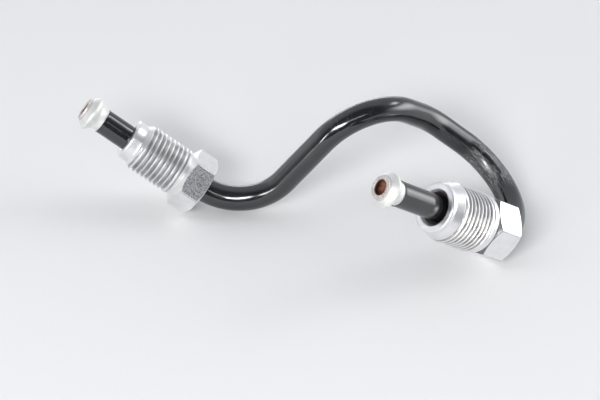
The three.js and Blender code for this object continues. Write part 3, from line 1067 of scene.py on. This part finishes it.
@dataclass(frozen=True)
class ZincPlate:
    """Bright zinc plating on a turned nut with drawn flats.

    Attributes:
        name: The material's name.
        grain: How coarse the drawn flats feel, from 0 to 1. On one flat their dark grain is also painted
            shade.
        bright: The plating's colour.
        dull: Its colour where it is blotched.
        groove: The colour at a thread's root, which is painted shade.
        bore: The colour inside the bore, which is painted shade.
        shoulder: The colour of the turned chamfers and of the hexagon's end faces. A dark one is painted
            shade there.
        drawn: The colour of the drawn flats' grain, which on one flat is also painted shade.
        grain_and_shade_flat: The angle of the flat whose grain is coarse and paints shade on it, from the
            first
        flat, in degrees. The others have a twelfth of its grain.
        rough: The plating's roughness.
        feed: The distance from one turned ring to the next, in millimetres.
        relief: The height of its bump, in metres.
    """

    name: str
    grain: float
    bright: Colour = (0.91, 0.91, 0.91, 1)
    dull: Colour = (0.7, 0.7, 0.7, 1)
    groove: Colour = (0.26, 0.245, 0.23, 1)
    bore: Colour = (0.25, 0.23, 0.21, 1)
    shoulder: Colour = (0.9, 0.9, 0.89, 1)
    drawn: Colour = (0.14, 0.15, 0.16, 1)
    grain_and_shade_flat: float = 240.0
    rough: float = 0.32
    feed: float = 0.11
    relief: float = 0.000012

    def material(self, patterns: Patterns) -> bpy.types.Material:
        """Builds the material from the nut's attributes.

        Args:
            patterns: The shared groups.

        Returns:
            The material.
        """
        material, nodes, shader = new_material(self.name)
        place, mark = nodes.attribute("place", "Vector"), nodes.attribute("mark", "Fac")
        split = nodes.add("SeparateXYZ", Vector=place)
        groove = nodes.fit(mark, 0.05, 0.5)
        bore = nodes.fit(mark, 1.2, 1.9)
        drawn = nodes.fit(mark, -0.6, -0.95)
        chamfer = nodes.fit(mark, -0.1, -0.45)
        blotch = nodes.group(patterns.mottle, Vector=place, Scale=0.55)
        grain_and_shade_mask = nodes.group(patterns.mottle, Vector=place, Scale=3.0, Detail=3.0)
        # Coarse dark grain on the one flat that faces the camera: grain, and painted shade that darkens that
        # flat.
        coarse = math.radians(self.grain_and_shade_flat)
        towards = nodes.math("MULTIPLY", split.outputs[1], math.cos(coarse))
        towards = nodes.math("MULTIPLY_ADD", split.outputs[2], math.sin(coarse), towards)
        grain_and_shade_mask = nodes.math("MULTIPLY_ADD", grain_and_shade_mask, 0.65, 0.35)
        grain_and_shade_mask = nodes.math("MULTIPLY", grain_and_shade_mask, nodes.fit(towards, 5.0, 5.4, 0.08, 1.0))
        colour = nodes.mix(nodes.math("MULTIPLY", blotch, 0.3), self.bright, self.dull)
        flat_grain_and_shade = nodes.math("MULTIPLY", drawn, nodes.math("MULTIPLY", grain_and_shade_mask, self.grain))
        colour = nodes.mix(flat_grain_and_shade, colour, self.drawn)
        # The shoulder colour on the chamfers, the hexagon's end faces and part of the bore's chamfers. The
        # M12's dark one is painted shade.
        turned = nodes.math("SUBTRACT", chamfer, drawn, clamp=True)
        colour = nodes.mix(turned, colour, self.shoulder)
        # Painted shade in the thread's roots, varied by the blotches.
        root_shade = nodes.math("MULTIPLY", groove, nodes.math("MULTIPLY_ADD", blotch, 0.35, 0.6))
        colour = nodes.mix(root_shade, colour, self.groove)
        # Painted shade inside the bore.
        colour = nodes.mix(bore, colour, self.bore)
        shader.inputs["Metallic"].default_value = 1.0
        rough = nodes.math("MULTIPLY_ADD", blotch, 0.1, self.rough)
        rough = nodes.math("MULTIPLY_ADD", groove, 0.1, rough)
        rough = nodes.math("MULTIPLY_ADD", bore, 0.3, rough)
        squares = [nodes.math("POWER", part, 2.0) for part in split.outputs[1:]]
        radial = nodes.math("SQRT", nodes.math("ADD", *squares))
        distance = nodes.math("MULTIPLY_ADD", radial, chamfer, split.outputs[0])
        rings = nodes.group(patterns.lathe, Distance=distance, Feed=self.feed)
        still = nodes.math("SUBTRACT", 1.0, nodes.math("MAXIMUM", drawn, groove))
        fine = nodes.group(patterns.mottle, Vector=place, Scale=5.0, Detail=4.0)
        height = nodes.math("MULTIPLY", nodes.math("MULTIPLY", rings, still), 0.35)
        height = nodes.math("MULTIPLY_ADD", flat_grain_and_shade, 1.2, height)
        height = nodes.math("MULTIPLY_ADD", fine, 0.06, height)
        nodes.feed(shader, colour, rough, height, self.relief)
        return material


@dataclass(frozen=True)
class FlareSteel:
    """Pressed steel flares under thin plating, and the copper-brazed bore.

    Attributes:
        bright: The plating's colour.
        dull: Its colour where the die rubbed it.
        copper: The colour of the bore.
        shade: The copper's colour where it is stained.
        stain_and_shade: The colour of the marks on the face round the bore, and of the painted shade in the
            valley behind it.
        rough: The plating's roughness.
        relief: The height of its bump, in metres.
    """

    bright: Colour = (0.9, 0.91, 0.89, 1)
    dull: Colour = (0.7, 0.7, 0.67, 1)
    copper: Colour = (0.42, 0.19, 0.13, 1)
    shade: Colour = (0.2, 0.1, 0.07, 1)
    stain_and_shade: Colour = (0.4, 0.31, 0.26, 1)
    rough: float = 0.52
    relief: float = 0.00001

    def material(self, patterns: Patterns) -> bpy.types.Material:
        """Builds the material from the pipe's attributes.

        Args:
            patterns: The shared groups.

        Returns:
            The material.
        """
        material, nodes, shader = new_material("flared_pipe_steel")
        place, inside = nodes.attribute("place", "Vector"), nodes.attribute("mark", "Fac")
        blotch = nodes.group(patterns.mottle, Vector=place, Scale=0.9)
        grain = nodes.group(patterns.mottle, Vector=place, Scale=6.0, Detail=4.0)
        marks = nodes.stretch(place, 2.6, 0.7, 0.7)
        rubbed = nodes.group(patterns.scuff, Vector=marks, Scale=2.0, Width=0.03, Amount=0.52)
        colour = nodes.mix(nodes.math("MULTIPLY", blotch, 0.5), self.bright, self.dull)
        colour = nodes.mix(nodes.math("MULTIPLY", rubbed, 0.5), colour, self.dull)
        depth = nodes.add("SeparateXYZ", Vector=place).outputs[0]
        face = nodes.math("SUBTRACT", nodes.fit(depth, 0.3, 0.1), inside, clamp=True)
        # A thin ring of painted shade in the valley behind the raised face, in the stain colour. The face's
        # speckles are real stains.
        valley = nodes.fit(nodes.math("ABSOLUTE", nodes.math("SUBTRACT", depth, 0.4)), 0.2, 0.05)
        speckled = nodes.group(patterns.mottle, Vector=place, Scale=2.4, Detail=4.0)
        speckled = nodes.fit(speckled, 0.2, 0.9, 0.2, 0.62)
        stain_and_valley_shade = nodes.math("MULTIPLY_ADD", face, speckled, nodes.math("MULTIPLY", valley, 0.4))
        colour = nodes.mix(stain_and_valley_shade, colour, self.stain_and_shade)
        colour = nodes.mix(inside, colour, nodes.mix(blotch, self.copper, self.shade))
        shader.inputs["Metallic"].default_value = 1.0
        rough = nodes.math("MULTIPLY_ADD", blotch, 0.12, self.rough)
        rough = nodes.math("MULTIPLY_ADD", rubbed, 0.15, rough)
        rough = nodes.math("MULTIPLY_ADD", inside, 0.12, rough)
        height = nodes.math("MULTIPLY_ADD", rubbed, -0.6, nodes.math("MULTIPLY", grain, 0.15))
        nodes.feed(shader, colour, rough, height, self.relief)
        return material


@dataclass(frozen=True)
class BlackCoat:
    """Glossy black plastic, drawn onto the pipe before it was bent.

    Attributes:
        black: The plastic's colour.
        worn: The colour of a scuff.
        dust: The colour of handled places.
        rubbed_middle: The station, in millimetres, of the stretch that the bender's clamp rubbed.
        rubbed_length: The length of that stretch.
        rough: The plastic's roughness.
        ior: Its index of refraction.
        relief: The height of its bump, in metres.
    """

    black: Colour = (0.005, 0.0055, 0.007, 1)
    worn: Colour = (0.34, 0.34, 0.34, 1)
    dust: Colour = (0.014, 0.0145, 0.016, 1)
    rubbed_middle: float = 103.0
    rubbed_length: float = 16.0
    rough: float = 0.11
    ior: float = 1.82
    relief: float = 0.000004

    def material(self, patterns: Patterns) -> bpy.types.Material:
        """Builds the material from the sleeve's attributes.

        Args:
            patterns: The shared groups.

        Returns:
            The material.
        """
        material, nodes, shader = new_material("gloss_black_coat")
        place, facing = nodes.attribute("place", "Vector"), nodes.attribute("mark", "Fac")
        handled = nodes.group(patterns.mottle, Vector=place, Scale=0.22)
        along = nodes.stretch(place, 0.16, 1.0, 1.0)
        lines = nodes.group(patterns.scuff, Vector=along, Scale=1.5, Width=0.008, Amount=0.4)
        outer = nodes.fit(facing, -0.35, -0.95)
        across = nodes.stretch(place, 1.2, 0.5, 0.5)
        rub = nodes.group(patterns.scuff, Vector=across, Scale=1.7, Width=0.02, Amount=0.5)
        split = nodes.add("SeparateXYZ", Vector=place)
        from_middle = nodes.math("ABSOLUTE", nodes.math("SUBTRACT", split.outputs[0], self.rubbed_middle))
        held = nodes.fit(from_middle, self.rubbed_length / 2, self.rubbed_length / 4)
        streaky = nodes.stretch(place, 0.12, 1.0, 1.0)
        dense = nodes.group(patterns.scuff, Vector=streaky, Scale=3.4, Width=0.08, Amount=0.6)
        patch = nodes.group(patterns.mottle, Vector=streaky, Scale=0.9, Detail=4.0)
        dense = nodes.math("MULTIPLY_ADD", patch, 0.35, nodes.math("MULTIPLY", dense, 0.8), clamp=True)
        light = nodes.math("MULTIPLY", nodes.math("MAXIMUM", lines, nodes.math("MULTIPLY", rub, outer)), 0.25)
        scuffed = nodes.math("MAXIMUM", light, nodes.math("MULTIPLY", dense, held))
        colour = nodes.mix(nodes.math("MULTIPLY", handled, 0.4), self.black, self.dust)
        colour = nodes.mix(nodes.math("MULTIPLY", scuffed, 0.6), colour, self.worn)
        rough = nodes.math("MULTIPLY_ADD", handled, 0.07, self.rough)
        rough = nodes.math("MULTIPLY_ADD", scuffed, 0.4, rough)
        shader.inputs["IOR"].default_value = self.ior
        peel = nodes.group(patterns.mottle, Vector=along, Scale=1.1, Detail=1.0)
        nodes.feed(shader, colour, rough, nodes.math("MULTIPLY_ADD", scuffed, -0.3, peel), self.relief)
        return material


@dataclass
class BrakePipe:
    """The whole part: the pipe, its coat and its two nuts.

    Attributes:
        line: The centreline.
        steel: The tube.
        coating: Its sleeve.
        m10_nut: The union nut on the M10 end.
        m12_nut: The union nut on the M12 end.
        m10_station: How far behind its tip the M10 nut's nose is at rest.
        m12_station: How far behind its tip the M12 nut's nose is at rest.
    """

    line: Centreline = field(default_factory=Centreline)
    steel: SteelPipe = field(default_factory=SteelPipe)
    coating: Coating = field(default_factory=Coating)
    m10_nut: UnionNut = field(default_factory=lambda: UnionNut(
        "union_nut_m10_skin", thread=9.9, nose=8.35, nose_length=2.2, thread_start=3.3, thread_end=12.3,
        collar_end=12.3, neck=9.2, hex_start=12.65, hex_front=9.3, length=17.9, bore=5.27, bore_chamfer=0.3,
        flat_turn=9.0,
    ))
    m12_nut: UnionNut = field(default_factory=lambda: UnionNut(
        "union_nut_m12_skin", thread=11.86, nose=10.0, nose_length=1.0, thread_start=3.4, thread_end=11.2,
        collar_end=12.4, neck=10.5, hex_start=12.65, hex_front=10.7, length=19.0, bore=6.3, bore_chamfer=0.6,
        flat_turn=22.5,
    ))
    m10_station: float = 10.4965
    m12_station: float = 14.7073

    def build(self, frame: dict) -> None:
        """Makes every piece, dresses it in its material and gives it its body.
        """
        m10 = End.from_frame(frame, "m10_flare_tip")
        m12 = End.from_frame(frame, "m12_flare_tip")
        self.line.lay(m10, m12)
        patterns = Patterns.make()
        # The M10's groove colour is painted shade in its thread's roots.
        m10_zinc = ZincPlate("grain_and_shade_zinc_plate", 0.9, groove=(0.42, 0.42, 0.42, 1)).material(patterns)
        # The M12's dark shoulder colour is painted shade on its hexagon's chamfers and end faces, and on part
        # of its bore's chamfers.
        m12_zinc = ZincPlate(
            "satin_zinc_plate", 0.12, bright=(0.9, 0.9, 0.91, 1), shoulder=(0.2, 0.2, 0.21, 1)
        ).material(patterns)
        steel, coat = FlareSteel().material(patterns), BlackCoat().material(patterns)
        made = (
            (self.steel.build(self.line), "steel_pipe", "pipe", Slot.STEEL, steel),
            (self.coating.build(self.line), "polyamide_coating", "pipe", Slot.COATING, coat),
            (self.m10_nut.build(m10, self.m10_station), "union_nut_m10", "m10_nut", Slot.ZINC, m10_zinc),
            (self.m12_nut.build(m12, self.m12_station), "union_nut_m12", "m12_nut", Slot.ZINC, m12_zinc),
        )
        for piece, node, body, slot, material in made:
            piece.data.materials.append(material)
            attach(piece, body)
            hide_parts(node)
            log.info("%s rides on %s and stands for %s", piece.name, body, node)


@dataclass(frozen=True)
class SoftLight:
    """A rectangular light that looks at the object and fades towards its edges.

    Attributes:
        name: Its name.
        azimuth: The direction that it stands in, in degrees from the viewer's side towards +X.
        elevation: Its elevation, in degrees.
        distance: Its distance, in metres.
        width: Its width, in metres.
        height: Its height, in metres.
        radiance: How bright the middle of its face is.
        core: The part of each side over which it doesn't fade.
        target: The point that it looks at, in metres.
    """

    name: str
    azimuth: float
    elevation: float
    distance: float
    width: float
    height: float
    radiance: float
    core: float = 0.3
    target: ClassVar[Vector] = Vector((0, 0, 0.01))

    def build(self) -> None:
        """Makes the light and turns it to the middle of the object.

        Its face is at full strength over the core. From there it fades smoothly to nothing at its edges.
        """
        lamp = bpy.data.lights.new(self.name, "AREA")
        lamp.shape = "RECTANGLE"
        lamp.size, lamp.size_y = self.width, self.height
        lamp.energy = math.pi * self.width * self.height * self.radiance
        lamp.use_nodes = True
        nodes = Nodes(lamp.node_tree)
        spot = nodes.add("SeparateXYZ", Vector=nodes.add("NewGeometry").outputs["Parametric"])
        fade = 1.0
        for share in spot.outputs[:2]:
            off_middle = nodes.math("ABSOLUTE", nodes.math("SUBTRACT", share, 0.5))
            fade = nodes.math("MULTIPLY", nodes.fit(off_middle, 0.5, self.core / 2), fade)
        glow = nodes.add("Emission", Strength=fade)
        nodes.add("OutputLight", Surface=glow.outputs[0])
        azimuth, elevation = math.radians(self.azimuth), math.radians(self.elevation)
        level = math.cos(elevation)
        towards = Vector((level * math.sin(azimuth), -level * math.cos(azimuth), math.sin(elevation)))
        place = self.distance * towards
        holder = add_to_scene(self.name, lamp)
        holder.location = place
        holder.rotation_euler = (self.target - place).to_track_quat("-Z", "Y").to_euler()


@dataclass
class Studio:
    """The floor, the light and the camera.

    Attributes:
        floor: The floor's colour.
        floor_width: Its width, in metres.
        bright: The colour of the light from the sides, the back and the floor's horizon.
        dim: Its colour in front, where the room is dark.
        dim_side: The middle of the dark part, as a direction.
        lights: The soft lights.
        eye: The camera's place, in millimetres.
        forward: The direction that it looks in.
        roll: How far its right side is raised, in degrees.
        lens: Its focal length, on a sensor 36 mm wide.
    """

    floor: Colour = (0.87, 0.87, 0.865, 1)
    floor_width: float = 3.0
    bright: Colour = (0.66, 0.67, 0.71, 1)
    dim: Colour = (0.125, 0.135, 0.155, 1)
    dim_side: tuple[float, float, float] = (0.0, -0.819, 0.574)
    lights: tuple[SoftLight, ...] = (
        SoftLight("right_box", 98, 12, 1.3, 2.2, 1.0, 2.0),
        SoftLight("right_core", 97, 19, 1.25, 1.4, 0.6, 2.2),
        SoftLight("right_high", 110, 42, 1.2, 0.6, 0.24, 6.0),
        SoftLight("left_box", -110, 12, 1.3, 2.2, 0.7, 0.45),
        SoftLight("rear_box", 165, 13, 1.3, 1.5, 0.7, 0.15),
        SoftLight("rear_strip", -172, 4, 1.35, 1.3, 0.16, 8.0),
        SoftLight("key_box", -19, 33, 0.9, 0.5, 0.2, 24.0, core=0.6),
        SoftLight("key_wing", 14, 38, 0.9, 0.6, 0.06, 9.0),
        SoftLight("low_box", -37, 11, 0.9, 0.14, 0.44, 14.0),
    )
    eye: tuple[float, float, float] = (2.16, -355.73, 265.2)
    forward: tuple[float, float, float] = (-0.005531, 0.809971, -0.586444)
    roll: float = 1.725
    lens: float = 134.74

    def build(self) -> None:
        """Makes the floor, the world, the lights and the camera."""
        self._floor()
        world = bpy.data.worlds.new("studio")
        world.use_nodes = True
        nodes = Nodes(world.node_tree)
        side = nodes.add("VectorMath", {"operation": "DOT_PRODUCT"})
        nodes.put(side.inputs[0], nodes.add("TexCoord").outputs["Generated"])
        nodes.put(side.inputs[1], self.dim_side)
        room = nodes.mix(nodes.fit(side.outputs["Value"], 0.3, 0.7), self.bright, self.dim)
        background = nodes.add("Background", Color=room)
        nodes.add("OutputWorld", Surface=background.outputs[0])
        bpy.context.scene.world = world
        bpy.context.scene.view_settings.view_transform = "Standard"
        for light in self.lights:
            light.build()
        self._camera()

    def _floor(self) -> None:
        """Makes the plain square floor, with its middle at the origin."""
        edge = self.floor_width / 2
        corners = [(-edge, -edge, 0), (edge, -edge, 0), (edge, edge, 0), (-edge, edge, 0)]
        mesh = bpy.data.meshes.new("studio_floor")
        mesh.from_pydata(corners, [], [(0, 1, 2, 3)])
        floor = add_to_scene("studio_floor", mesh)
        material, _, shader = new_material("pale_floor")
        shader.inputs["Base Color"].default_value = self.floor
        shader.inputs["Roughness"].default_value = 0.75
        mesh.materials.append(material)
        floor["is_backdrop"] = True

    def _camera(self) -> None:
        """Makes the camera from its place, direction and roll."""
        ahead = unit(np.array(self.forward))
        level = unit(np.cross(ahead, (0, 0, 1)))
        upright = np.cross(level, ahead)
        roll = math.radians(self.roll)
        right = math.cos(roll) * level + math.sin(roll) * upright
        up = math.cos(roll) * upright - math.sin(roll) * level
        lens = bpy.data.cameras.new("camera")
        lens.sensor_fit = "HORIZONTAL"
        lens.sensor_width = 36
        lens.lens = self.lens
        lens.clip_start = 0.01
        camera = add_to_scene("camera", lens)
        turn = Matrix(np.stack([right, up, -ahead], axis=1).tolist()).to_4x4()
        camera.matrix_world = Matrix.Translation(Vector(self.eye) * MM) @ turn
        bpy.context.scene.camera = camera


def corners() -> list[list[float]]:
    """The object's box as plain numbers."""
    return [[float(value) for value in corner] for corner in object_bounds()]


def main() -> None:
    """Builds the studio and the part."""
    logging.basicConfig(level=logging.INFO, format="%(name)s: %(message)s")
    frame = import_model()
    Studio().build()
    BrakePipe().build(frame)


if __name__ == "__main__":
    main()
